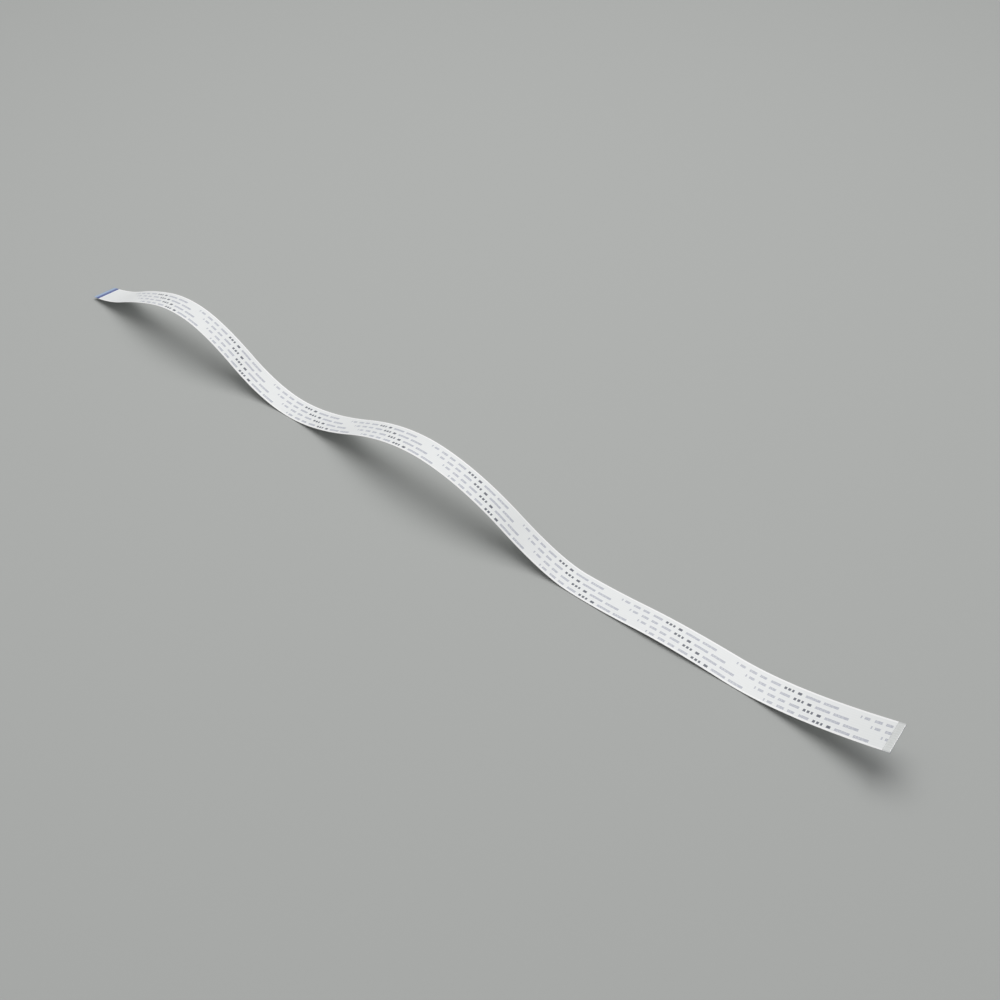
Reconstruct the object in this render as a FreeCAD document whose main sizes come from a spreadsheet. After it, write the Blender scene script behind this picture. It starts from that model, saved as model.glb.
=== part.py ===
import FreeCAD, Part
import math
import os

import Sketcher

# Flat flexible cable of a printer carriage, lying in waves on a table.
# Millimetres. +X runs along the cable from the far tail to the near tail, +Y across its
# width, +Z up. The origin is on the table, under the middle of the cable.
#
# The cable is a laminate. Flat copper conductors lie in a recess of the base film, side by
# side, and a cover film closes it. At the near tail the cover film stops short, and there
# each conductor lies bare on top, in a channel of its own. At the far tail the base film
# stops short, so they lie bare underneath. Each tail is backed by a stiffener on the side
# away from its contacts.

# Driving dimensions
SIZES = (
    ("conductor_count", 12, "flat conductors side by side"),
    ("conductor_pitch", 1.25, "from one conductor's middle to the next"),
    ("conductor_width", 0.8, "across the cable"),
    ("conductor_thickness", 0.1, "also the depth of the base film's recess"),
    ("edge_margin", 0.85, "film beside the outermost conductor"),
    ("base_film_floor", 0.08, "film under the conductors"),
    ("cover_film_thickness", 0.1, "film with its adhesive"),
    ("near_contact_length", 4.0, "conductors bare on top"),
    ("far_contact_length", 4.0, "conductors bare underneath"),
    ("stiffener_thickness", 0.12, "plate that backs a tail"),
    ("near_stiffener_length", 8.0, "under the near tail"),
    ("far_stiffener_length", 5.0, "on top of the far tail"),
    ("channel_length", 8.0, "separate channels at the near tail"),
    ("bend_share", 0.45, "share of the shorter run that a bend takes"),
    ("cut_overrun", 0.2, "how far a cut runs past the film's faces"),
)

# Route of the cable's underside, seen from the side: distance along the table from the
# far end, and height above the table. The two pairs at height 0 lie on the table, and
# the cable comes down close to it once more before the near tail rises.
ROUTE = (
    (0, 0),
    (16, 4),
    (45, 19),
    (78, 29.5),
    (111.5, 26),
    (159.5, 0),
    (202.5, 0),
    (267, 32),
    (320.5, 28.5),
    (377, 0),
    (411, 0),
    (454, 3),
    (518.5, 0),
    (573.5, 23.5),
)

# How far a conductor's volume may lie from its section times its length
LENGTH_TOLERANCE = 1e-4

doc = FreeCAD.newDocument("CarriageCable")


def make_sheet():
    """The sheet of driving dimensions, one named cell each."""
    sheet = doc.addObject("Spreadsheet::Sheet", "sizes")
    for row, (name, value, meaning) in enumerate(SIZES, start=1):
        sheet.set(f"A{row}", name)
        sheet.set(f"B{row}", str(value))
        sheet.set(f"C{row}", meaning)
        sheet.setAlias(f"B{row}", name)
    doc.recompute()
    return sheet


sizes = make_sheet()
count = int(sizes.conductor_count)
base_film_top = sizes.base_film_floor + sizes.conductor_thickness
cover_film_top = base_film_top + sizes.cover_film_thickness

CABLE_WIDTH = (
    "(sizes.conductor_count - 1) * sizes.conductor_pitch"
    " + sizes.conductor_width + 2 * sizes.edge_margin"
)
CONDUCTOR_SPREAD = "(sizes.conductor_count - 1) * sizes.conductor_pitch"


# Route: straight runs joined by tangent arcs
def make_path():
    """Pieces of the underside's path, from the far end to the near end.

    A run is ("run", start, end). A bend is ("bend", centre, radius, first angle, turn),
    with the turn in radians, positive where the cable curves upwards.
    """
    middle = ROUTE[-1][0] / 2
    points = [FreeCAD.Vector(along - middle, height, 0) for along, height in ROUTE]
    pieces = []
    start = points[0]
    for before, corner, after in zip(points, points[1:], points[2:]):
        into = corner - before
        away = after - corner
        turn = math.atan2(into.cross(away).z, into.dot(away))
        tangent = sizes.bend_share * min(into.Length, away.Length)
        radius = tangent / math.tan(abs(turn) / 2)
        into.normalize()
        side = FreeCAD.Vector(-into.y, into.x, 0) * math.copysign(1, turn)
        bend_start = corner - into * tangent
        centre = bend_start + side * radius
        first_angle = math.atan2(bend_start.y - centre.y, bend_start.x - centre.x)
        pieces.append(("run", start, bend_start))
        pieces.append(("bend", centre, radius, first_angle, turn))
        start = on_circle(centre, radius, first_angle + turn)
        print(f"bend at {corner.x + middle:5.1f}: radius {radius:6.1f}")
    pieces.append(("run", start, points[-1]))
    return pieces


def on_circle(centre, radius, angle):
    return centre + FreeCAD.Vector(math.cos(angle), math.sin(angle), 0) * radius


def unit(start, end):
    direction = end - start
    return direction.normalize()


def upward(start, end):
    """Unit normal of a run, on the cable's upper side."""
    direction = unit(start, end)
    return FreeCAD.Vector(-direction.y, direction.x, 0)


def path_length(pieces):
    length = 0
    for piece in pieces:
        if piece[0] == "run":
            length += (piece[2] - piece[1]).Length
        else:
            length += piece[2] * abs(piece[4])
    return length


path = make_path()
cable_length = path_length(path)
far_run = path[0]
near_run = path[-1]


# Side profile of one layer, between two heights above the underside
def layer_line(height, far_cut, near_cut):
    """Lines and arcs of the path at one height, with the two ends cut back."""
    edges = []
    for index, piece in enumerate(path):
        if piece[0] == "run":
            start = piece[1] + upward(piece[1], piece[2]) * height
            end = piece[2] + upward(piece[1], piece[2]) * height
            if index == 0:
                start = start + unit(start, end) * far_cut
            if index == len(path) - 1:
                end = end - unit(start, end) * near_cut
            edges.append(Part.LineSegment(start, end))
        else:
            centre, radius, first_angle, turn = piece[1:]
            radius = radius - math.copysign(height, turn)
            circle = Part.Circle(centre, FreeCAD.Vector(0, 0, 1), radius)
            angles = sorted((first_angle, first_angle + turn))
            edges.append(Part.ArcOfCircle(circle, *angles))
    return edges


def divide_line(line, distance):
    """The two parts of a line that is divided at a distance from its start."""
    middle = line.StartPoint + unit(line.StartPoint, line.EndPoint) * distance
    return [
        Part.LineSegment(line.StartPoint, middle),
        Part.LineSegment(middle, line.EndPoint),
    ]


def divide_tails(edges):
    """Divide a layer line where the films stop, at the start of each bare contact."""
    near_tail = edges[-1].length() - sizes.near_contact_length
    return (
        divide_line(edges[0], sizes.far_contact_length)
        + edges[1:-1]
        + divide_line(edges[-1], near_tail)
    )


def add_layer_profile(sketch, low, high, far_cut, near_cut, divided=False):
    """Closed side profile of a layer, as lines and arcs of a sketch."""
    lower = layer_line(low, far_cut, near_cut)
    upper = layer_line(high, far_cut, near_cut)
    if divided:
        lower = divide_tails(lower)
        upper = divide_tails(upper)
    far_end = Part.LineSegment(lower[0].StartPoint, upper[0].StartPoint)
    near_end = Part.LineSegment(lower[-1].EndPoint, upper[-1].EndPoint)
    sketch.addGeometry(lower + [near_end] + upper + [far_end])


# Bodies and their features
def make_body(label):
    body = doc.addObject("PartDesign::Body", label)
    body.Label = label
    return body


def side_sketch(body, name):
    """A sketch in the body's upright plane along the cable."""
    sketch = body.newObject("Sketcher::SketchObject", name)
    plane = [item for item in body.Origin.OriginFeatures if item.Role == "XZ_Plane"][0]
    sketch.AttachmentSupport = (plane, [""])
    sketch.MapMode = "FlatFace"
    return sketch


def pad_across(body, sketch, width):
    """Pad a side profile to both sides of its plane, by a width from the sheet."""
    pad = body.newObject("PartDesign::Pad", "pad")
    pad.Profile = sketch
    pad.SideType = "Symmetric"
    pad.setExpression("Length", width)
    return pad


def make_layer(label, low, high, far_cut, near_cut, width):
    """A layer that follows the whole route."""
    body = make_body(label)
    sketch = side_sketch(body, "side_profile")
    add_layer_profile(sketch, low, high, far_cut, near_cut)
    pad_across(body, sketch, width)
    return body


def cut_layer(body, name, far_cut, near_cut, width):
    """Cut the conductors' layer out of the base film, from its upper face down."""
    sketch = side_sketch(body, name + "_profile")
    cut_top = base_film_top + sizes.cut_overrun
    add_layer_profile(sketch, sizes.base_film_floor, cut_top, far_cut, near_cut)
    cut = body.newObject("PartDesign::Pocket", name)
    cut.Profile = sketch
    cut.SideType = "Symmetric"
    cut.setExpression("Length", width)
    body.Tip = cut
    doc.recompute()
    return sketch, cut


def make_base_film():
    """Lower film, with a recess for the conductors and channels at its near tail."""
    body = make_layer(
        "base_film", 0, base_film_top, sizes.far_contact_length, 0, CABLE_WIDTH
    )
    doc.recompute()
    far_cut = sizes.far_contact_length - sizes.cut_overrun
    recess_width = f"{CONDUCTOR_SPREAD} + sizes.conductor_width"
    cut_layer(body, "recess", far_cut, sizes.channel_length, recess_width)
    return add_channels(body)


def add_channels(body):
    """One channel for each conductor, along the straight near tail."""
    sketch = side_sketch(body, "channel_profile")
    start = near_run[2] - unit(near_run[1], near_run[2]) * sizes.channel_length
    end = near_run[2] + unit(near_run[1], near_run[2]) * sizes.cut_overrun
    low = upward(start, end) * sizes.base_film_floor
    high = upward(start, end) * (base_film_top + sizes.cut_overrun)
    corners = [start + low, end + low, end + high, start + high]
    for here, there in zip(corners, corners[1:] + corners[:1]):
        sketch.addGeometry(Part.LineSegment(here, there))
    sketch.setExpression("AttachmentOffset.Base.z", f"{CONDUCTOR_SPREAD} / 2")
    channel = body.newObject("PartDesign::Pocket", "channel")
    channel.Profile = sketch
    channel.SideType = "Symmetric"
    channel.setExpression("Length", "sizes.conductor_width")
    doc.recompute()
    channels = body.newObject("PartDesign::LinearPattern", "channels")
    channels.Originals = [channel]
    channels.Direction = (sketch, ["N_Axis"])
    channels.Reversed = True
    channels.setExpression("Length", CONDUCTOR_SPREAD)
    channels.setExpression("Occurrences", "sizes.conductor_count")
    body.Tip = channels
    return body


def make_cover_film():
    """Upper film, which leaves the contacts of the near tail bare."""
    return make_layer(
        "cover_film",
        base_film_top,
        cover_film_top,
        0,
        sizes.near_contact_length,
        CABLE_WIDTH,
    )


def make_conductor(number):
    """One flat copper conductor, from end to end of the cable.

    Its faces are divided where the films stop, so each bare contact is a face of its own.
    """
    body = make_body(f"conductor_{number:02d}")
    sketch = side_sketch(body, "side_profile")
    add_layer_profile(sketch, sizes.base_film_floor, base_film_top, 0, 0, divided=True)
    pad = pad_across(body, sketch, "sizes.conductor_width")
    pad.Refine = False
    steps = f"({number - 1} - (sizes.conductor_count - 1) / 2)"
    body.setExpression("Placement.Base.y", f"{steps} * sizes.conductor_pitch")
    return body


def make_stiffener(label, length, corner, run):
    """A plate that backs a tail, lying along the tail's straight run.

    The plate's own lower edge at its end away from +X lies on the corner.
    """
    body = make_body(label)
    sketch = side_sketch(body, "outline")
    far, near = FreeCAD.Vector(0, 0, 0), FreeCAD.Vector(1, 0, 0)
    rise = FreeCAD.Vector(0, 1, 0)
    sketch.addGeometry(
        [
            Part.LineSegment(far, near),
            Part.LineSegment(near, near + rise),
            Part.LineSegment(near + rise, far + rise),
            Part.LineSegment(far + rise, far),
        ]
    )
    for side in range(4):
        sketch.addConstraint(Sketcher.Constraint("Coincident", side, 2, (side + 1) % 4, 1))
    sketch.addConstraint(Sketcher.Constraint("Horizontal", 0))
    sketch.addConstraint(Sketcher.Constraint("Horizontal", 2))
    sketch.addConstraint(Sketcher.Constraint("Vertical", 1))
    sketch.addConstraint(Sketcher.Constraint("Vertical", 3))
    sketch.addConstraint(Sketcher.Constraint("Coincident", 0, 1, -1, 1))
    length_row = sketch.addConstraint(Sketcher.Constraint("DistanceX", 0, 1, 0, 2, 1))
    sketch.setExpression(f"Constraints[{length_row}]", f"sizes.{length}")
    rise_row = sketch.addConstraint(Sketcher.Constraint("DistanceY", 1, 1, 1, 2, 1))
    sketch.setExpression(f"Constraints[{rise_row}]", "sizes.stiffener_thickness")
    pad_across(body, sketch, CABLE_WIDTH)
    direction = unit(run[1], run[2])
    slope = math.degrees(math.atan2(direction.y, direction.x))
    body.Placement = FreeCAD.Placement(
        FreeCAD.Vector(corner.x, 0, corner.y),
        FreeCAD.Rotation(FreeCAD.Vector(0, 1, 0), -slope),
    )
    return body


def make_far_stiffener():
    """On top of the cover film, flush with the far end."""
    corner = far_run[1] + upward(far_run[1], far_run[2]) * cover_film_top
    return make_stiffener("far_stiffener", "far_stiffener_length", corner, far_run)


def make_near_stiffener():
    """Under the base film, flush with the near end."""
    corner = (
        near_run[2]
        - unit(near_run[1], near_run[2]) * sizes.near_stiffener_length
        - upward(near_run[1], near_run[2]) * sizes.stiffener_thickness
    )
    return make_stiffener("near_stiffener", "near_stiffener_length", corner, near_run)


def check_document():
    for item in doc.Objects:
        faults = {"Invalid", "Error"} & set(item.State)
        if faults:
            raise RuntimeError(f"{item.Name} is {faults}")


def check_lengths(conductors):
    """Compare each conductor's volume with its section times its length."""
    section = sizes.conductor_width * sizes.conductor_thickness
    middle = sizes.base_film_floor + sizes.conductor_thickness / 2
    rise = sum(piece[4] for piece in path if piece[0] == "bend")
    expected = section * (cable_length - middle * rise)
    for body in conductors:
        share = body.Shape.Volume / expected
        if abs(share - 1) > LENGTH_TOLERANCE:
            raise RuntimeError(f"{body.Label} has {share:.4f} of its volume")


def write_parts(bodies):
    os.makedirs("parts", exist_ok=True)
    for body in bodies:
        shape = body.Shape
        if shape.isNull() or not shape.isValid() or len(shape.Solids) != 1:
            raise RuntimeError(f"{body.Label} is not one valid solid")
        shape.exportStep(f"parts/{body.Label}.step")
        print(f"{body.Label}: {shape.Volume:.2f} mm3")


films = [make_base_film(), make_cover_film()]
conductors = [make_conductor(number) for number in range(1, count + 1)]
stiffeners = [make_far_stiffener(), make_near_stiffener()]
doc.recompute()
check_document()
check_lengths(conductors)
write_parts(films + conductors + stiffeners)
print(f"cable length {cable_length:.1f} mm")
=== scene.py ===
# %% [markdown]
# # A flat flexible cable, lying in waves
#
# The cable of a printer carriage is a laminate: twelve flat, tinned copper conductors lie
# side by side between two white polyester films. A blue plate backs each tail, so that it
# can be pushed into its socket. The whole thing is 0.28 mm thick, 16 mm wide and 600 mm
# long, and it stands in waves by its own stiffness.
#
# The plan: every layer is first made flat and straight, at its real size, as it lies on
# the laminating table. Each layer then keeps its flat coordinates in an attribute, and is
# laid along one smooth line. The print, the faint ribs over the conductors and the grain
# of the metal all read that attribute, so they follow each wave of the cable.

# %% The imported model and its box
import math

import bpy
import numpy as np
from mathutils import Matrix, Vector


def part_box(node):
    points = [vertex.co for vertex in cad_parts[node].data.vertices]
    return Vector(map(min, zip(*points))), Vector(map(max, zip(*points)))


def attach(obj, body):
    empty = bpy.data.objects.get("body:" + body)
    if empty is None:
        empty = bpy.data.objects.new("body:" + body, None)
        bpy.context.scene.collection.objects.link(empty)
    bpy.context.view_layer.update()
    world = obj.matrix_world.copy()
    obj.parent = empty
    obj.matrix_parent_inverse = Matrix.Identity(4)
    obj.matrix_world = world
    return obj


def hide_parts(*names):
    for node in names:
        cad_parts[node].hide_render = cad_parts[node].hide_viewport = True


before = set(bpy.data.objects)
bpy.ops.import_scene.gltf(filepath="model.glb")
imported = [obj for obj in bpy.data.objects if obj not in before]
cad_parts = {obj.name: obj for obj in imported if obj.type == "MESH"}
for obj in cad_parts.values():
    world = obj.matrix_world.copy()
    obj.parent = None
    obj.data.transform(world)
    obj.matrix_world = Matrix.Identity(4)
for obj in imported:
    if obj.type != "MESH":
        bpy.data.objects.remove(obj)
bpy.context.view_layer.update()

print("pieces in the packed model:", len(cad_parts))

# %% [markdown]
# ## Three helpers
#
# The cable's sizes are small, so they are written in millimetres and turned to metres in
# one place. Colours are written as the hex codes that a colour picker shows, and turned
# to the linear values that the renderer wants. One function adds a node, sets it up and
# links it, which keeps a long material readable.

# %% Millimetres, colours and nodes
METRE = 1000


def mm(value):
    """A length in millimetres, in metres."""
    return value / METRE


def linear(hex_code):
    """The linear colour, with alpha 1, of an sRGB hex code."""
    shares = [int(hex_code[i : i + 2], 16) / 255 for i in (1, 3, 5)]
    return [s / 12.92 if s <= 0.04045 else ((s + 0.055) / 1.055) ** 2.4 for s in shares] + [1]


def add_node(tree, kind, settings=None, inputs=None):
    """Add a node, set its properties, and fill its inputs with values or links."""
    node = tree.nodes.new(kind)
    for name, value in (settings or {}).items():
        setattr(node, name, value)
    for socket, value in (inputs or {}).items():
        if isinstance(value, bpy.types.NodeSocket):
            tree.links.new(value, node.inputs[socket])
        else:
            node.inputs[socket].default_value = value
    return node


print("mid grey is", round(linear("#808080")[0], 3), "in linear light")

# %% [markdown]
# ## The camera
#
# The photograph looks down at the cable from beside its near end, 43 degrees below the
# horizon, and the cable runs from the upper left to the lower right. The camera comes
# first, because the place of a free cable is judged from it. Depth of field stays off.

# %% Camera
CAMERA_PLACE = Vector((0.39542, -0.3968, 0.52122))
CAMERA_DOWN = math.radians(43.447)
CAMERA_HEADING = math.radians(40.807)
LENS = 49.573
NEAREST_SEEN = 0.01

bpy.ops.object.select_all(action="DESELECT")
bpy.ops.object.camera_add(
    location=CAMERA_PLACE, rotation=(math.pi / 2 - CAMERA_DOWN, 0, CAMERA_HEADING)
)
camera = bpy.context.object
camera.data.lens = LENS
camera.data.clip_start = NEAREST_SEEN
bpy.context.scene.camera = camera
print("camera stands", round(CAMERA_PLACE.length, 3), "m from the middle of the cable")

# %% [markdown]
# ## The line that the cable follows
#
# Seen from the side, the cable rises to two crests of about 30 mm, rests on the table
# between them and after them, and points upwards at its near tail. A few control points
# and a NURBS spline of order 3 give curves that swell and fade as a springy strip's do. A
# real cable is never quite straight, so the points also wander a millimetre or two to the
# side. The spline is only a guide, so its points are read once and the curve is removed.
#
# Each point below has its distance from the far end, its place to the side and its height
# above the table. The line goes through the first and the last of them, and near the rest.

# %% Route
ROUTE = (
    (-1, -0.8, 1),
    (15, -0.6, 3.8),
    (45, -0.2, 19),
    (78, 0.5, 29.5),
    (111.5, 0.5, 26),
    (159.5, -0.5, 0.1),
    (202.5, 0.8, 0.1),
    (267, -0.7, 32),
    (320.5, -0.9, 28.5),
    (377, -1.4, 0.2),
    (411, -1.4, 0.2),
    (454, 0.4, 3.3),
    (518.5, 2.5, -0.3),
    (573.5, -0.1, 23.5),
)
ROUTE_MIDDLE = ROUTE[-1][0] / 2
SPLINE_ORDER = 3
POINTS_PER_SPAN = 48


def read_spline(name, places):
    """The points of a smooth NURBS spline with these places, in mm, as its control points."""
    data = bpy.data.curves.new(name, "CURVE")
    data.dimensions = "3D"
    spline = data.splines.new("NURBS")
    spline.points.add(len(places) - 1)
    for point, place in zip(spline.points, places):
        point.co = [mm(value) for value in place] + [1]
    spline.order_u = SPLINE_ORDER
    spline.use_endpoint_u = True
    spline.resolution_u = POINTS_PER_SPAN
    guide = bpy.data.objects.new(name, data)
    bpy.context.scene.collection.objects.link(guide)
    mesh = bpy.data.meshes.new_from_object(guide)
    points = np.array([vertex.co for vertex in mesh.vertices])
    bpy.data.meshes.remove(mesh)
    bpy.data.objects.remove(guide)
    return points


line = read_spline("route", [(along - ROUTE_MIDDLE, side, up) for along, side, up in ROUTE])
steps = np.diff(line, axis=0)
reach = np.concatenate([[0], np.cumsum(np.linalg.norm(steps, axis=1))])
cable_length = float(reach[-1])
print(f"the line has {len(line)} points and is {cable_length * METRE:.1f} mm long")

# %% [markdown]
# ## How the cable rolls
#
# A long thin strip also rolls about its own line: here the crests lean away from the
# camera by a few degrees, and the near tail leans towards it. Each control point has its
# roll in degrees. The rolls go through a second spline, with the same distances along, so
# that they swell and fade just as the heights do.

# %% Directions along, across and out of the cable
ROLLS = (-5, -3, -1, -3.5, -7, -4, 3, -1, -4.5, -4, 1.5, 2.5, 11.5, 17)


def unit(vectors):
    """The same directions, each with length 1."""
    return vectors / np.linalg.norm(vectors, axis=1, keepdims=True)


rolled = read_spline("rolls", [(at[0], roll, 0) for at, roll in zip(ROUTE, ROLLS)])
roll = np.radians(rolled[:, 1] * METRE)[:, None]
along = unit(np.gradient(line, reach, axis=0))
level = unit(np.cross((0, 0, 1), along))
upright = np.cross(along, level)
across = level * np.cos(roll) + upright * np.sin(roll)
outward = upright * np.cos(roll) - level * np.sin(roll)
slopes = np.degrees(np.arcsin(along[:, 2]))
print(f"the steepest slope is {np.abs(slopes).max():.0f} degrees")

# %% [markdown]
# ## From flat to laid
#
# A flat layer's X is the distance along the cable, its Y the place across it and its Z
# the height in the laminate. Laying it is one formula: X picks a point of the line, and
# Y and Z move away from it, across the cable and out of its upper face. Because all the
# layers use the same line, they stay as tightly stacked as they were on the table.

# %% Laying a flat layer
SMOOTH_BELOW = math.radians(30)


def keep_flat_places(piece):
    """Store each vertex's flat place in the attribute that the materials read."""
    places = np.empty(len(piece.data.vertices) * 3, np.float32)
    piece.data.vertices.foreach_get("co", places)
    flat = piece.data.attributes.new("flat", "FLOAT_VECTOR", "POINT")
    flat.data.foreach_set("vector", places)
    return places.reshape(-1, 3)


def at_reach(distances, values):
    """Three values at each distance along the cable, between those of the line's points."""
    return np.stack([np.interp(distances, reach, values[:, axis]) for axis in range(3)], axis=1)


def lay(piece):
    """Lay a flat layer along the line."""
    flat = keep_flat_places(piece)
    laid = at_reach(flat[:, 0], line)
    laid += at_reach(flat[:, 0], across) * flat[:, 1:2]
    laid += at_reach(flat[:, 0], outward) * flat[:, 2:3]
    piece.data.vertices.foreach_set("co", laid.astype(np.float32).ravel())
    piece.data.update()
    bpy.ops.object.shade_smooth_by_angle(angle=SMOOTH_BELOW)


print("edges under", round(math.degrees(SMOOTH_BELOW)), "degrees are shaded smooth")

# %% [markdown]
# ## A flat bar in short sections
#
# Film, conductor and plate all start as a long, thin bar. A grid with one row of short
# sections is added and stretched to the real length and width, and one extrusion gives it
# its thickness. A cube could be subdivided instead, but one subdivision makes no more than
# a hundred cuts. With a section each 1.5 mm, the tightest bend is true to a hundredth of a
# millimetre. Faces are what the later steps pick, so edit mode is set to select faces.

# %% Flat bar
SECTION = mm(1.5)
bpy.context.tool_settings.mesh_select_mode = (False, False, True)


def start_bar(name, start, end, low, high, left, right):
    """A flat bar between two distances along, two heights and two places across."""
    bpy.ops.object.select_all(action="DESELECT")
    bpy.ops.mesh.primitive_grid_add(
        x_subdivisions=max(2, round((end - start) / SECTION)),
        y_subdivisions=1,
        size=1,
        location=((start + end) / 2, (left + right) / 2, low),
    )
    piece = bpy.context.object
    piece.name = name
    piece.scale = (end - start, right - left, 1)
    bpy.ops.object.transform_apply(location=True, rotation=False, scale=True)
    bpy.ops.object.mode_set(mode="EDIT")
    bpy.ops.mesh.select_all(action="SELECT")
    bpy.ops.mesh.extrude_region_move(TRANSFORM_OT_translate={"value": (0, 0, high - low)})
    bpy.ops.mesh.select_all(action="SELECT")
    bpy.ops.mesh.normals_make_consistent(inside=False)
    bpy.ops.mesh.select_all(action="DESELECT")
    bpy.ops.object.mode_set(mode="OBJECT")
    return piece


print("sections along the whole cable:", round(cable_length / SECTION))

# %% [markdown]
# ## Sizes of the laminate
#
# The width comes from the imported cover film. The heights are those of the stack, counted
# from the underside of the lower film: 0.08 mm of film, 0.1 mm of conductor and 0.1 mm of
# cover film. The plates lie outside the stack, one on top and one underneath.

# %% Laminate sizes
film_low, film_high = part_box("cover_film")
HALF_WIDTH = (film_high.y - film_low.y) / 2
CONDUCTORS = 12
PITCH = 1.25
CONDUCTOR_WIDTH = 0.8
FLOOR_TOP = mm(0.08)
CONDUCTOR_TOP = mm(0.18)
COVER_TOP = mm(0.28)
PLATE = mm(0.12)
CONTACT = mm(4)
CHANNEL = mm(8)
FAR_PLATE = mm(5)
NEAR_PLATE = mm(8)
conductor_middles = [mm((i - (CONDUCTORS - 1) / 2) * PITCH) for i in range(CONDUCTORS)]
recess_edge = conductor_middles[-1] + mm(CONDUCTOR_WIDTH / 2)
print("width of the cable:", round(2 * HALF_WIDTH * METRE, 2), "mm")

# %% [markdown]
# ## The cover film
#
# The upper film runs from the very end of the far tail to the bare contacts of the near
# tail. It is one bar, with nothing cut into it. It carries the print.

# %% Cover film
cover_end = cable_length - CONTACT
cover = start_bar(
    "printed_cover_film", 0, cover_end, CONDUCTOR_TOP, COVER_TOP, -HALF_WIDTH, HALF_WIDTH
)
lay(cover)
print(cover.name, "has", len(cover.data.polygons), "faces")

# %% [markdown]
# ## The lower film
#
# The lower film is a floor with a raised rim along each edge, because the conductors lie
# in its adhesive. At the near tail, where the cover film is stripped away, thin ribs part
# the conductors. The bar starts as the floor alone. Cuts along it mark the rims and the
# ribs, and one extrusion lifts both.

# %% Lower film
FACES_UP = 0.9


def cut_across(piece, place, normal):
    """Cut through the whole piece with a plane."""
    bpy.ops.object.mode_set(mode="EDIT")
    bpy.ops.mesh.select_all(action="SELECT")
    bpy.ops.mesh.bisect(plane_co=place, plane_no=normal)
    bpy.ops.mesh.select_all(action="DESELECT")
    bpy.ops.object.mode_set(mode="OBJECT")


lower = start_bar("lower_film", CONTACT, cable_length, 0, FLOOR_TOP, -HALF_WIDTH, HALF_WIDTH)
rib_start = cable_length - CHANNEL
cut_across(lower, (rib_start, 0, 0), (1, 0, 0))
for middle in conductor_middles:
    for edge in (-CONDUCTOR_WIDTH / 2, CONDUCTOR_WIDTH / 2):
        cut_across(lower, (0, middle + mm(edge), 0), (0, 1, 0))


def is_raised(face):
    """Whether a face lies on the floor's top, under a rim or a rib."""
    if face.normal.z < FACES_UP:
        return False
    beside = min(abs(face.center.y - middle) for middle in conductor_middles)
    at_ribs = face.center.x > rib_start and beside > mm(CONDUCTOR_WIDTH / 2)
    return abs(face.center.y) > recess_edge or at_ribs


for face in lower.data.polygons:
    face.select = is_raised(face)
bpy.ops.object.mode_set(mode="EDIT")
bpy.ops.mesh.extrude_region_move(
    TRANSFORM_OT_translate={"value": (0, 0, CONDUCTOR_TOP - FLOOR_TOP)}
)
bpy.ops.object.mode_set(mode="OBJECT")
above_walls = (FLOOR_TOP + CONDUCTOR_TOP) / 2
raised = [
    face
    for face in lower.data.polygons
    if face.center.z > above_walls and face.normal.z > FACES_UP
]
raised_width = sum(face.area for face in raised) / (cable_length - CONTACT)
print(f"raised faces: {len(raised)}, together {raised_width * METRE:.2f} mm wide")
lay(lower)
print(lower.name, "has", len(lower.data.polygons), "faces")

# %% [markdown]
# ## The conductors
#
# Twelve flat strips of tinned copper run from end to end. One is modelled, and the others
# are copies with meshes of their own, moved across to their channels before they are laid.

# %% Conductors
conductor = start_bar(
    "conductor_strip_01",
    0,
    cable_length,
    FLOOR_TOP,
    CONDUCTOR_TOP,
    conductor_middles[0] - mm(CONDUCTOR_WIDTH / 2),
    conductor_middles[0] + mm(CONDUCTOR_WIDTH / 2),
)
strips = [conductor]
for number in range(2, CONDUCTORS + 1):
    bpy.ops.object.select_all(action="DESELECT")
    conductor.select_set(True)
    bpy.context.view_layer.objects.active = conductor
    bpy.ops.object.duplicate()
    strip = bpy.context.object
    strip.name = f"conductor_strip_{number:02d}"
    bpy.ops.transform.translate(value=(0, conductor_middles[number - 1] - conductor_middles[0], 0))
    bpy.ops.object.transform_apply(location=True, rotation=False, scale=False)
    strips.append(strip)
for strip in strips:
    bpy.ops.object.select_all(action="DESELECT")
    strip.select_set(True)
    bpy.context.view_layer.objects.active = strip
    lay(strip)
print("conductors:", len(strips), "with", len(conductor.data.polygons), "faces each")

# %% [markdown]
# ## The plates that back the tails
#
# A plate of blue polyester is laminated to the top of the far tail, and another to the
# underside of the near one. They stiffen the tail for its socket. Their edges are
# punched and slightly rounded: a small bevel catches the light there.

# %% Plates
PLATE_BEVEL = mm(0.03)
BEVEL_STEPS = 2


def make_plate(name, start, end, low, high):
    """A laid plate, as wide as the cable."""
    plate = start_bar(name, start, end, low, high, -HALF_WIDTH, HALF_WIDTH)
    bevel = plate.modifiers.new("punched edge", "BEVEL")
    bevel.width = PLATE_BEVEL
    bevel.segments = BEVEL_STEPS
    bpy.ops.object.modifier_apply(modifier=bevel.name)
    lay(plate)
    return plate


far_plate = make_plate("far_blue_plate", 0, FAR_PLATE, COVER_TOP, COVER_TOP + PLATE)
near_plate = make_plate("near_blue_plate", cable_length - NEAR_PLATE, cable_length, -PLATE, 0)
print("plates:", far_plate.name, near_plate.name)

# %% [markdown]
# ## How a material finds its place
#
# Every material starts with an empty tree and one principled shader. It reads the
# attribute that each layer kept when it was flat, so a stripe along the cable stays a
# stripe on every wave. Sizes in the materials are in millimetres of the flat cable. Only
# depths are in metres, because the bump node wants them so.

# %% Material and flat place
def start_material(name):
    """A material with an empty tree but for its output, and its principled shader."""
    material = bpy.data.materials.new(name)
    material.use_nodes = True
    tree = material.node_tree
    tree.nodes.clear()
    shader = add_node(tree, "ShaderNodeBsdfPrincipled")
    add_node(tree, "ShaderNodeOutputMaterial", inputs={"Surface": shader.outputs["BSDF"]})
    return material, tree, shader


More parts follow.
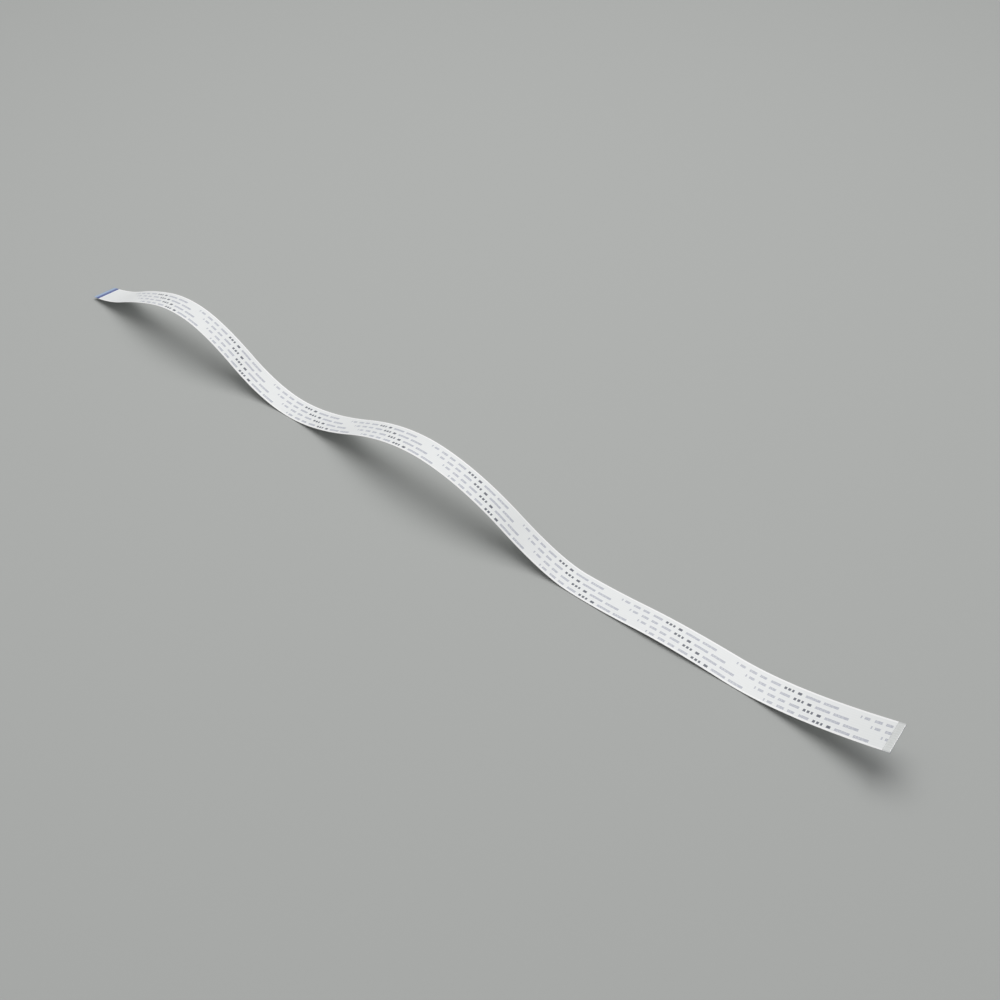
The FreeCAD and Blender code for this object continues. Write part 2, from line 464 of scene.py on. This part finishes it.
def flat_place(tree):
    """The three flat coordinates of the cable, in millimetres."""
    place = add_node(tree, "ShaderNodeAttribute", {"attribute_name": "flat"})
    scaled = add_node(
        tree,
        "ShaderNodeVectorMath",
        {"operation": "SCALE"},
        {"Vector": place.outputs["Vector"], "Scale": METRE},
    )
    return scaled.outputs["Vector"]


print("flat places are in millimetres,", METRE, "to the metre")

# %% [markdown]
# ## White polyester film
#
# The film is polyester, filled white, calendered smooth and laminated hot. Where it lies
# over a conductor the metal shows through a little, so it is a shade greyer there. The
# margins outside the outermost conductors are the whitest part. These stripes are worked
# out from the pitch and from the conductors' width, so they lie where the conductors do.

# %% Stripes of the film
FILM_OVER_METAL = linear("#edefef")
FILM_MARGIN = linear("#fdfdfd")
GAP_SHARE = 0.15
SOFT_EDGE = 0.1


def between_conductors(tree, across):
    """1 on the margins, a small share of it between conductors, and 0 over a conductor."""
    cell = add_node(tree, "ShaderNodeMath", {"operation": "DIVIDE"}, {0: across, 1: PITCH})
    share = add_node(tree, "ShaderNodeMath", {"operation": "FRACT"}, {0: cell.outputs[0]})
    offset = add_node(
        tree, "ShaderNodeMath", {"operation": "SUBTRACT"}, {0: share.outputs[0], 1: 0.5}
    )
    away = add_node(tree, "ShaderNodeMath", {"operation": "ABSOLUTE"}, {0: offset.outputs[0]})
    half = CONDUCTOR_WIDTH / PITCH / 2
    gap = add_node(
        tree,
        "ShaderNodeMapRange",
        {"interpolation_type": "SMOOTHSTEP"},
        {
            "Value": away.outputs[0],
            "From Min": half - SOFT_EDGE / 2,
            "From Max": half + SOFT_EDGE / 2,
            "To Max": GAP_SHARE,
        },
    )
    far_out = add_node(tree, "ShaderNodeMath", {"operation": "ABSOLUTE"}, {0: across})
    margin = add_node(
        tree,
        "ShaderNodeMapRange",
        {"interpolation_type": "SMOOTHSTEP"},
        {
            "Value": far_out.outputs[0],
            "From Min": recess_edge * METRE - SOFT_EDGE,
            "From Max": recess_edge * METRE + SOFT_EDGE,
        },
    )
    both = add_node(
        tree,
        "ShaderNodeMath",
        {"operation": "MAXIMUM"},
        {0: gap.outputs["Result"], 1: margin.outputs["Result"]},
    )
    return both.outputs[0]


def film_colour(tree, between):
    """Grey over the metal, white on the margins, and in between for the gaps."""
    mixed = add_node(
        tree,
        "ShaderNodeMix",
        {"data_type": "RGBA"},
        {"Factor": between, "A": FILM_OVER_METAL, "B": FILM_MARGIN},
    )
    return mixed.outputs["Result"]


print("share of the pitch that lies over a conductor:", CONDUCTOR_WIDTH / PITCH)

# %% [markdown]
# ## The film's surface
#
# The surface is satin: smooth enough to pick up the lamp softly, not to mirror it. It is
# not quite even. It sinks by up to 0.008 mm where no metal lies under it, and the hot
# rollers leave it slightly wavy. Both are far too shallow for the outline to show, so they
# are bumps in the shader and not geometry.

# %% Relief of the film
FILM_ROUGHNESS = 0.42
POLYESTER_IOR = 1.57
RIB_DEPTH = mm(0.008)
WAVE_DEPTH = mm(0.05)
WAVES_PER_MM = 0.09
WAVE_SOFTNESS = 0.4
NOISE_DETAIL = 2


def film_relief(tree, place, between):
    """A normal with the grooves between conductors and a slight waviness of the film."""
    waves = add_node(
        tree,
        "ShaderNodeTexNoise",
        inputs={
            "Vector": place,
            "Scale": WAVES_PER_MM,
            "Detail": NOISE_DETAIL,
            "Roughness": WAVE_SOFTNESS,
        },
    )
    wavy = add_node(
        tree,
        "ShaderNodeBump",
        inputs={"Height": waves.outputs["Fac"], "Distance": WAVE_DEPTH, "Strength": 1},
    )
    ribbed = add_node(
        tree,
        "ShaderNodeBump",
        {"invert": True},
        {"Height": between, "Distance": RIB_DEPTH, "Strength": 1, "Normal": wavy.outputs[0]},
    )
    return ribbed.outputs[0]


print("the film sinks by up to", round(RIB_DEPTH * METRE, 3), "mm beside the metal")

# %% [markdown]
# ## The print
#
# Four rows of small marks run along the cover film, and each row starts a little later
# than the one above it. From a step away a row reads as fields of pale blue-grey ink,
# with a few dark marks in each repeat. It says nothing here: a field is a soft patch of
# ink, mottled by small squares of thicker ink. One colour ramp holds the layout of a
# repeat. Its colour is the ink, and its alpha is the share of squares with thick ink. Each
# field below has its start and its end in the repeat, its ink, and that share.

# %% Layout of the print
REPEAT = 68.17
PALE_INK = "#babdc7"
DARK_INK = "#5f636e"
FIELDS = (
    (0.0, 0.6, PALE_INK, 0.7),
    (1.9, 4.8, PALE_INK, 0.75),
    (7.4, 11.2, PALE_INK, 0.7),
    (13.2, 16.9, PALE_INK, 0.7),
    (19.3, 24.6, PALE_INK, 0.7),
    (26.8, 28.1, DARK_INK, 1.0),
    (29.0, 30.2, DARK_INK, 1.0),
    (31.0, 32.1, DARK_INK, 1.0),
    (34.3, 36.3, DARK_INK, 1.0),
    (38.4, 46.4, PALE_INK, 0.7),
    (48.3, 56.2, PALE_INK, 0.7),
)


def fill_ramp(ramp):
    """Set a ramp's stops to the layout of one repeat of the print."""
    ramp.interpolation = "CONSTANT"
    for start, end, ink, share in FIELDS:
        begin = ramp.elements.new(start / REPEAT) if start else ramp.elements[0]
        begin.color = linear(ink)[:3] + [share]
        finish = ramp.elements.new(end / REPEAT)
        finish.color = linear(ink)[:3] + [0]
    ramp.elements[-1].color = linear(PALE_INK)[:3] + [0]


print("fields in a repeat of the print:", len(FIELDS))

# %% [markdown]
# ## Rows and repeats
#
# For each place on the film, the shader has to know the row, the height in that row and
# the distance into a repeat. The place across, divided by the pitch of the rows, gives the
# first two. The place along, less what the row starts later, gives the third: its
# remainder after whole repeats. No row is printed before its first repeat begins.

# %% Rows and repeats
ROWS = 4
ROW_PITCH = 3.605
TOP_ROW = 4.62
ROW_SHIFT = 7.23
FIRST_REPEAT = 31.2


def print_coordinates(tree, along, across):
    """The row, the height in it, the distance into a repeat, and 1 where the row has begun."""
    from_top = add_node(
        tree,
        "ShaderNodeMath",
        {"operation": "SUBTRACT"},
        {0: TOP_ROW + ROW_PITCH / 2, 1: across},
    )
    rows = add_node(
        tree, "ShaderNodeMath", {"operation": "DIVIDE"}, {0: from_top.outputs[0], 1: ROW_PITCH}
    )
    row = add_node(tree, "ShaderNodeMath", {"operation": "FLOOR"}, {0: rows.outputs[0]})
    share = add_node(tree, "ShaderNodeMath", {"operation": "FRACT"}, {0: rows.outputs[0]})
    centred = add_node(
        tree, "ShaderNodeMath", {"operation": "SUBTRACT"}, {0: share.outputs[0], 1: 0.5}
    )
    height = add_node(
        tree, "ShaderNodeMath", {"operation": "MULTIPLY"}, {0: centred.outputs[0], 1: ROW_PITCH}
    )
    shift = add_node(
        tree,
        "ShaderNodeMath",
        {"operation": "MULTIPLY_ADD"},
        {0: row.outputs[0], 1: -ROW_SHIFT, 2: REPEAT - FIRST_REPEAT},
    )
    shifted = add_node(
        tree, "ShaderNodeMath", {"operation": "ADD"}, {0: along, 1: shift.outputs[0]}
    )
    into = add_node(
        tree, "ShaderNodeMath", {"operation": "FLOORED_MODULO"}, {0: shifted.outputs[0], 1: REPEAT}
    )
    begun = add_node(
        tree, "ShaderNodeMath", {"operation": "GREATER_THAN"}, {0: shifted.outputs[0], 1: REPEAT}
    )
    return row.outputs[0], height.outputs[0], into.outputs[0], begun


print("each row starts", ROW_SHIFT, "mm after the one above it")

# %% [markdown]
# ## The ink
#
# White noise gives each small square a number, the same in each repeat, as a printing
# roller would. Where the number is under the share of its field, the ink is thick, and
# elsewhere in the field it is thinner. The squares are 0.3 mm wide, coarser than real ink
# is, so that they still show. Then the ink is kept to its field and its row.

# %% Ink
MARK_HEIGHT = 1.4
STROKE = 0.31
INK_BETWEEN_STROKES = 0.55
FIELD_SHARE = 0.1


def print_ink(tree, place):
    """The ink's colour, and how much of it lies at a place."""
    parts = add_node(tree, "ShaderNodeSeparateXYZ", inputs={"Vector": place})
    row, height, into, begun = print_coordinates(tree, parts.outputs["X"], parts.outputs["Y"])
    repeat_share = add_node(
        tree, "ShaderNodeMath", {"operation": "DIVIDE"}, {0: into, 1: REPEAT}
    )
    layout = add_node(tree, "ShaderNodeValToRGB", inputs={"Fac": repeat_share.outputs[0]})
    fill_ramp(layout.color_ramp)
    cell = add_node(tree, "ShaderNodeCombineXYZ", inputs={"X": into, "Y": height})
    strokes = add_node(
        tree,
        "ShaderNodeVectorMath",
        {"operation": "DIVIDE"},
        {0: cell.outputs[0], 1: (STROKE, STROKE, 1)},
    )
    whole = add_node(
        tree, "ShaderNodeVectorMath", {"operation": "FLOOR"}, {0: strokes.outputs[0]}
    )
    chance = add_node(
        tree, "ShaderNodeTexWhiteNoise", {"noise_dimensions": "2D"}, {"Vector": whole.outputs[0]}
    )
    stroke = add_node(
        tree,
        "ShaderNodeMath",
        {"operation": "LESS_THAN"},
        {0: chance.outputs["Value"], 1: layout.outputs["Alpha"]},
    )
    soft = add_node(
        tree,
        "ShaderNodeMapRange",
        inputs={"Value": stroke.outputs[0], "To Min": INK_BETWEEN_STROKES},
    )
    in_field = add_node(
        tree,
        "ShaderNodeMath",
        {"operation": "GREATER_THAN"},
        {0: layout.outputs["Alpha"], 1: FIELD_SHARE},
    )
    away = add_node(tree, "ShaderNodeMath", {"operation": "ABSOLUTE"}, {0: height})
    in_row = add_node(
        tree, "ShaderNodeMath", {"operation": "LESS_THAN"}, {0: away.outputs[0], 1: MARK_HEIGHT / 2}
    )
    is_row = add_node(
        tree, "ShaderNodeMath", {"operation": "COMPARE"}, {0: row, 1: (ROWS - 1) / 2, 2: ROWS / 2}
    )
    amount = soft
    for limit in (in_field, in_row, is_row, begun):
        amount = add_node(
            tree,
            "ShaderNodeMath",
            {"operation": "MULTIPLY"},
            {0: amount.outputs[0], 1: limit.outputs[0]},
        )
    return layout.outputs["Color"], amount.outputs[0]


print("squares across a mark:", round(MARK_HEIGHT / STROKE, 1))

# %% [markdown]
# ## The two films
#
# Both films share the stripes and the relief. The cover film adds the print. The lower
# film adds old adhesive, which greys the ribs between the bare contacts of the near tail.

# %% Film materials
ADHESIVE = linear("#cdcfce")


def tail_colour(tree, along, colour):
    """The film's colour, greyed by old adhesive between the bare contacts of the near tail."""
    bare = add_node(
        tree,
        "ShaderNodeMath",
        {"operation": "GREATER_THAN"},
        {0: along, 1: (cable_length - CHANNEL) * METRE},
    )
    mixed = add_node(
        tree,
        "ShaderNodeMix",
        {"data_type": "RGBA"},
        {"Factor": bare.outputs[0], "A": colour, "B": ADHESIVE},
    )
    return mixed.outputs["Result"]


def make_film_material(name, printed):
    """White film: with the print, or without it and with adhesive at the near tail."""
    material, tree, shader = start_material(name)
    place = flat_place(tree)
    parts = add_node(tree, "ShaderNodeSeparateXYZ", inputs={"Vector": place})
    between = between_conductors(tree, parts.outputs["Y"])
    colour = film_colour(tree, between)
    if printed:
        ink, amount = print_ink(tree, place)
        inked = add_node(
            tree,
            "ShaderNodeMix",
            {"data_type": "RGBA"},
            {"Factor": amount, "A": colour, "B": ink},
        )
        colour = inked.outputs["Result"]
    else:
        colour = tail_colour(tree, parts.outputs["X"], colour)
    tree.links.new(colour, shader.inputs["Base Color"])
    tree.links.new(film_relief(tree, place, between), shader.inputs["Normal"])
    shader.inputs["Roughness"].default_value = FILM_ROUGHNESS
    shader.inputs["IOR"].default_value = POLYESTER_IOR
    return material


printed_film = make_film_material("white polyester film with print", printed=True)
plain_film = make_film_material("white polyester film", printed=False)
cover.data.materials.append(printed_film)
lower.data.materials.append(plain_film)
print("film materials:", printed_film.name, "and", plain_film.name)

# %% [markdown]
# ## Tinned copper
#
# The conductors are rolled copper, plated with tin: a soft, pale grey metal that rolling
# and plating leave with fine lines along its length. The lines are stretched noise, drawn
# 0.06 mm wide so that they show. At the cut end of the near tail a burr would catch the
# light as a thin bright rim. That rim is a painted highlight: the last third of a millimetre is
# paler.

# %% Tin material
TIN = linear("#c4c6c5")
# painted highlight: paler tin on the last stretch at the cut, in place of the light on its burr
TIN_PAINTED_HIGHLIGHT = linear("#e2e3e2")
TIN_SMOOTHEST = 0.3
TIN_ROUGHEST = 0.48
LINE_WIDTH = 0.06
LINE_LENGTH = 3
LINE_DEPTH = mm(0.003)
PAINTED_HIGHLIGHT_LENGTH = 0.35


def painted_highlight_at_cut(tree, along):
    """1 on the last stretch of the near tail, where a highlight is painted, 0 elsewhere."""
    rim = add_node(
        tree,
        "ShaderNodeMath",
        {"operation": "GREATER_THAN"},
        {0: along, 1: cable_length * METRE - PAINTED_HIGHLIGHT_LENGTH},
    )
    return rim.outputs[0]


def make_tin_material():
    """Bright tin with fine rolled lines, and a painted highlight at the cut."""
    material, tree, shader = start_material("tinned copper")
    place = flat_place(tree)
    parts = add_node(tree, "ShaderNodeSeparateXYZ", inputs={"Vector": place})
    stretched = add_node(
        tree,
        "ShaderNodeVectorMath",
        {"operation": "DIVIDE"},
        {0: place, 1: (LINE_LENGTH, LINE_WIDTH, LINE_WIDTH)},
    )
    lines = add_node(
        tree,
        "ShaderNodeTexNoise",
        inputs={"Vector": stretched.outputs[0], "Scale": 1, "Detail": NOISE_DETAIL},
    )
    # the tin's colour, with the painted highlight at the cut
    colour = add_node(
        tree,
        "ShaderNodeMix",
        {"data_type": "RGBA"},
        {"Factor": painted_highlight_at_cut(tree, parts.outputs["X"]), "A": TIN, "B": TIN_PAINTED_HIGHLIGHT},
    )
    roughness = add_node(
        tree,
        "ShaderNodeMapRange",
        inputs={
            "Value": lines.outputs["Fac"],
            "To Min": TIN_SMOOTHEST,
            "To Max": TIN_ROUGHEST,
        },
    )
    relief = add_node(
        tree,
        "ShaderNodeBump",
        inputs={"Height": lines.outputs["Fac"], "Distance": LINE_DEPTH, "Strength": 1},
    )
    tree.links.new(colour.outputs["Result"], shader.inputs["Base Color"])
    tree.links.new(roughness.outputs["Result"], shader.inputs["Roughness"])
    tree.links.new(relief.outputs[0], shader.inputs["Normal"])
    shader.inputs["Metallic"].default_value = 1
    return material


tin = make_tin_material()
for strip in strips:
    strip.data.materials.append(tin)
print("tinned strips:", len(strips))

# %% [markdown]
# ## Blue polyester plate
#
# The plates are blue polyester tape, pressed on hot and a little glossier than the film.
# The far plate is pale towards its outer edge, which is a painted reflection of the lamp on
# its gloss, and it is deep blue beside the white film. The blue is a ramp along the plate,
# broken by a faint mottle.

# %% Plate material
# painted reflection: the pale blue at the outer edge of the far plate
PLATE_PAINTED_REFLECTION = linear("#a3bbd6")
PLATE_DEEP = linear("#475a9a")
PLATE_ROUGHNESS = 0.3
PAINTED_REFLECTION_UNTIL = 1.5
PAINTED_REFLECTION_GONE_AT = 3.5
MOTTLE = 0.12
MOTTLES_PER_MM = 1.4
MOTTLE_DETAIL = 3


def make_plate_material():
    """Blue tape, with a painted reflection that makes it pale at the far end of the cable, and deep
    blue from there on.
    """
    material, tree, shader = start_material("blue polyester plate")
    place = flat_place(tree)
    parts = add_node(tree, "ShaderNodeSeparateXYZ", inputs={"Vector": place})
    painted_reflection_fade = add_node(
        tree,
        "ShaderNodeMapRange",
        {"interpolation_type": "SMOOTHSTEP"},
        {"Value": parts.outputs["X"], "From Min": PAINTED_REFLECTION_UNTIL, "From Max": PAINTED_REFLECTION_GONE_AT},
    )
    grain = add_node(
        tree,
        "ShaderNodeTexNoise",
        inputs={"Vector": place, "Scale": MOTTLES_PER_MM, "Detail": MOTTLE_DETAIL},
    )
    mottle_and_painted_reflection = add_node(
        tree,
        "ShaderNodeMath",
        {"operation": "MULTIPLY_ADD"},
        {0: grain.outputs["Fac"], 1: MOTTLE, 2: painted_reflection_fade.outputs["Result"]},
    )
    # mottled blue, with the painted reflection at the far plate's outer edge
    colour = add_node(
        tree,
        "ShaderNodeMix",
        {"data_type": "RGBA"},
        {"Factor": mottle_and_painted_reflection.outputs[0], "A": PLATE_PAINTED_REFLECTION, "B": PLATE_DEEP},
    )
    relief = add_node(
        tree,
        "ShaderNodeBump",
        inputs={"Height": grain.outputs["Fac"], "Distance": RIB_DEPTH, "Strength": 1},
    )
    tree.links.new(colour.outputs["Result"], shader.inputs["Base Color"])
    tree.links.new(relief.outputs[0], shader.inputs["Normal"])
    shader.inputs["Roughness"].default_value = PLATE_ROUGHNESS
    shader.inputs["IOR"].default_value = POLYESTER_IOR
    return material


blue_polyester = make_plate_material()
far_plate.data.materials.append(blue_polyester)
near_plate.data.materials.append(blue_polyester)
print("the far plate turns from pale to deep over", PAINTED_REFLECTION_GONE_AT - PAINTED_REFLECTION_UNTIL, "mm")

# %% [markdown]
# ## The floor
#
# The floor is plain and pale grey, and takes the cable's shadow. Far from the cable, it
# shows the camera the same plain grey as the room behind it, so that no horizon shows.
# Other rays still meet an ordinary floor there.

# %% Floor
FLOOR_SIZE = 8
FLOOR_COLOUR = linear("#b2b4b2")
FLOOR_ROUGHNESS = 0.9
FAR_FLOOR_START = 0.7
FAR_FLOOR_END = 1.8
ROOM_COLOUR = linear("#a9aba9")

bpy.ops.object.select_all(action="DESELECT")
bpy.ops.mesh.primitive_plane_add(size=FLOOR_SIZE, location=(0, 0, 0))
floor = bpy.context.object
floor.name = "floor"
floor_material, floor_tree, floor_shader = start_material("pale grey floor")
floor_shader.inputs["Base Color"].default_value = FLOOR_COLOUR
floor_shader.inputs["Roughness"].default_value = FLOOR_ROUGHNESS
floor_rays = add_node(floor_tree, "ShaderNodeLightPath")
floor_place = add_node(floor_tree, "ShaderNodeTexCoord")
from_cable = add_node(
    floor_tree,
    "ShaderNodeVectorMath",
    {"operation": "LENGTH"},
    {"Vector": floor_place.outputs["Object"]},
)
far_off = add_node(
    floor_tree,
    "ShaderNodeMapRange",
    {"interpolation_type": "SMOOTHSTEP"},
    {
        "Value": from_cable.outputs["Value"],
        "From Min": FAR_FLOOR_START,
        "From Max": FAR_FLOOR_END,
    },
)
seen_far_off = add_node(
    floor_tree,
    "ShaderNodeMath",
    {"operation": "MULTIPLY"},
    {0: far_off.outputs["Result"], 1: floor_rays.outputs["Is Camera Ray"]},
)
far_floor = add_node(floor_tree, "ShaderNodeEmission", inputs={"Color": ROOM_COLOUR})
whole_floor = add_node(
    floor_tree,
    "ShaderNodeMixShader",
    inputs={0: seen_far_off.outputs[0], 1: floor_shader.outputs[0], 2: far_floor.outputs[0]},
)
floor_output = next(node for node in floor_tree.nodes if node.type == "OUTPUT_MATERIAL")
floor_tree.links.new(whole_floor.outputs[0], floor_output.inputs["Surface"])
floor.data.materials.append(floor_material)
print("the floor is", FLOOR_SIZE, "m wide, and plain from", FAR_FLOOR_END, "m on")

# %% [markdown]
# ## The lamp
#
# One broad, soft lamp hangs above and a little behind the cable. The shadow of a crest is
# then dark where the cable meets the floor, and fades underneath the arch.

# %% Lamp
LAMP_PLACE = Vector((-0.15, 0.27, 1.5))
LAMP_SIZE = 1.5
LAMP_POWER = 18.4

bpy.ops.object.light_add(type="AREA", location=LAMP_PLACE)
lamp = bpy.context.object
lamp.rotation_euler = LAMP_PLACE.to_track_quat("Z", "Y").to_euler()
lamp.data.shape = "SQUARE"
lamp.data.size = LAMP_SIZE
lamp.data.energy = LAMP_POWER
print("lamp:", LAMP_POWER, "W,", LAMP_SIZE, "m wide")

# %% [markdown]
# ## The world
#
# The world lights what the lamp leaves dark, more from overhead than from the horizon, so
# that little light reaches the narrow gaps under the edges. It is brighter to glossy rays,
# so that the tin mirrors a pale room. To the camera it is one plain grey.

# %% World
WORLD_COLOUR = linear("#ffffff")
WORLD_HORIZON = 0.14
WORLD_OVERHEAD = 0.4
WORLD_MIRRORED = 0.75

world = bpy.data.worlds.new("pale room")
bpy.context.scene.world = world
world.use_nodes = True
world_tree = world.node_tree
world_tree.nodes.clear()
rays = add_node(world_tree, "ShaderNodeLightPath")
sky = add_node(world_tree, "ShaderNodeTexCoord")
sky_parts = add_node(
    world_tree, "ShaderNodeSeparateXYZ", inputs={"Vector": sky.outputs["Generated"]}
)
fill = add_node(
    world_tree,
    "ShaderNodeMapRange",
    inputs={"Value": sky_parts.outputs["Z"], "To Min": WORLD_HORIZON, "To Max": WORLD_OVERHEAD},
)
strength = add_node(
    world_tree,
    "ShaderNodeMix",
    inputs={
        "Factor": rays.outputs["Is Glossy Ray"],
        "A": fill.outputs["Result"],
        "B": WORLD_MIRRORED,
    },
)
light = add_node(
    world_tree,
    "ShaderNodeBackground",
    inputs={"Color": WORLD_COLOUR, "Strength": strength.outputs["Result"]},
)
wall = add_node(world_tree, "ShaderNodeBackground", inputs={"Color": ROOM_COLOUR})
seen = add_node(
    world_tree,
    "ShaderNodeMixShader",
    inputs={0: rays.outputs["Is Camera Ray"], 1: light.outputs[0], 2: wall.outputs[0]},
)
add_node(world_tree, "ShaderNodeOutputWorld", inputs={"Surface": seen.outputs[0]})
bpy.context.scene.view_settings.view_transform = "Standard"
print("the world's strength rises from", WORLD_HORIZON, "to", WORLD_OVERHEAD)

# %% [markdown]
# ## The pieces on the body
#
# Each piece rides on the part's one body and stands for an imported piece of its own,
# which is hidden. The films, the plates and the conductors all ride on that one body.

# %% Bodies and hidden imported pieces
stands_for = {cover: "cover_film", lower: "base_film"}
stands_for |= {far_plate: "far_stiffener", near_plate: "near_stiffener"}
stands_for |= {strip: f"conductor_{i:02d}" for i, strip in enumerate(strips, start=1)}
for piece, node in stands_for.items():
    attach(piece, "root")
    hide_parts(node)

print("pieces declared:", len(stands_for))
